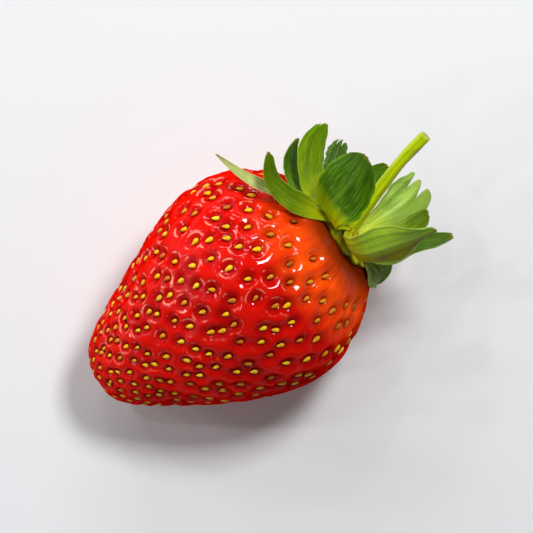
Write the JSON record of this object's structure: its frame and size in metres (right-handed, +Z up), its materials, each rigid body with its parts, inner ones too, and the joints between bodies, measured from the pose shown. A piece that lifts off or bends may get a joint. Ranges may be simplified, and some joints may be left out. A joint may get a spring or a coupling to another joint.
{
  "type": "strawberry",
  "caption": "Whole ripe strawberry lying on its side, with its leafy green calyx and a short cut stalk.",
  "frame": {"origin": "Middle of the small flat spot that the berry lies on, at the height of the surface under it.", "axes": "+X runs along the berry from its tip towards the cut stalk, +Y is level, across the berry, and +Z is up."},
  "size_m": [0.0589, 0.0351, 0.0354],
  "materials": {
    "berry_skin": "gloss",
    "calyx_leaf": "satin",
    "calyx_base": "satin",
    "stalk": "satin",
    "seed": "satin"
  },
  "bodies": {
    "root": {"berry": "berry_skin", "calyx_base": "calyx_base", "stalk": "stalk", "sepal_1": "calyx_leaf", "sepal_2": "calyx_leaf", "sepal_3": "calyx_leaf", "sepal_4": "calyx_leaf", "sepal_5": "calyx_leaf", "sepal_6": "calyx_leaf", "sepal_7": "calyx_leaf", "bract_1": "calyx_leaf", "bract_2": "calyx_leaf", "bract_3": "calyx_leaf", "bract_4": "calyx_leaf", "bract_5": "calyx_leaf"}
  },
  "joints": []
}
